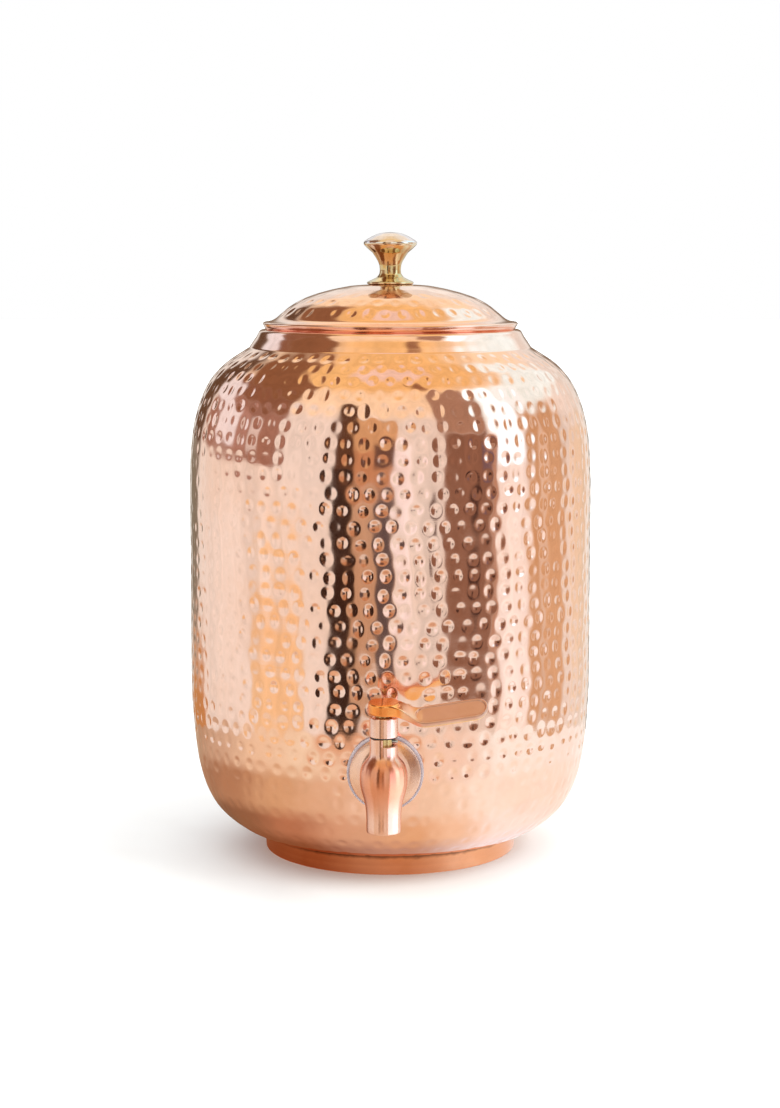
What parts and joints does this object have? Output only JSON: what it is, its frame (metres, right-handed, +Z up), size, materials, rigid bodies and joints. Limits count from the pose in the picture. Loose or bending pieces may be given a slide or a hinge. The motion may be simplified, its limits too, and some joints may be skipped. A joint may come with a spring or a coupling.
{
  "type": "copper water dispenser",
  "caption": "Round hammered copper water dispenser with a foot ring, a lift-off lid with a turned knob, and a quarter-turn lever tap low on its front.",
  "frame": {"origin": "centre of the object's bounding box on the table, which is 19.1 mm in front of the pot's own axis", "axes": "+Z up, front with the tap towards -Y, +X to the right as seen from the front"},
  "size_m": [0.2058, 0.244, 0.3154],
  "materials": {
    "hammered_copper": "polished copper with round hammer dents",
    "polished_copper": "polished copper, plain",
    "copper_lining": "spun copper, satin",
    "copper_plated": "satin copper plate over cast brass",
    "brass": "turned brass",
    "knob_brass": "polished turned brass",
    "steel": "plain stainless steel",
    "silicone": "milky translucent silicone",
    "black_rubber": "black nitrile rubber"
  },
  "bodies": {
    "vessel": {"vessel_base": "hammered_copper", "vessel_wall": "hammered_copper", "vessel_shoulder": "hammered_copper", "mouth_wire": "steel", "foot_ring": "polished_copper", "tap_outer_gasket": "silicone", "tap_escutcheon": "copper_plated", "tap_body": "copper_plated", "tap_inner_gasket": "silicone", "tap_inner_washer": "steel", "tap_lock_nut": "brass", "stem_friction_washer": "black_rubber"},
    "lever": {"valve_plug": "brass", "stem_o_ring": "black_rubber", "plug_upper_o_ring": "black_rubber", "plug_lower_o_ring": "black_rubber", "stop_pin": "steel", "lever_collar": "copper_plated", "tap_lever": "copper_plated", "lever_grub_screw": "steel"},
    "lid": {"lid_dome": "hammered_copper", "lid_rim": "polished_copper", "lid_skirt": "copper_lining", "lid_knob": "knob_brass", "knob_screw": "steel", "knob_washer": "steel", "knob_spring_washer": "steel"}
  },
  "joints": [
    {"name": "tap_lever_turn", "type": "hinge", "parent": "vessel", "child": "lever", "pos_m": [0, -0.1109, 0.09], "axis": [0, 0, 1], "range_deg": [-90, 0]},
    {"name": "lid_lift", "type": "slide", "parent": "vessel", "child": "lid", "axis": [0, 0, 1], "range_m": [0, 0.12]}
  ]
}
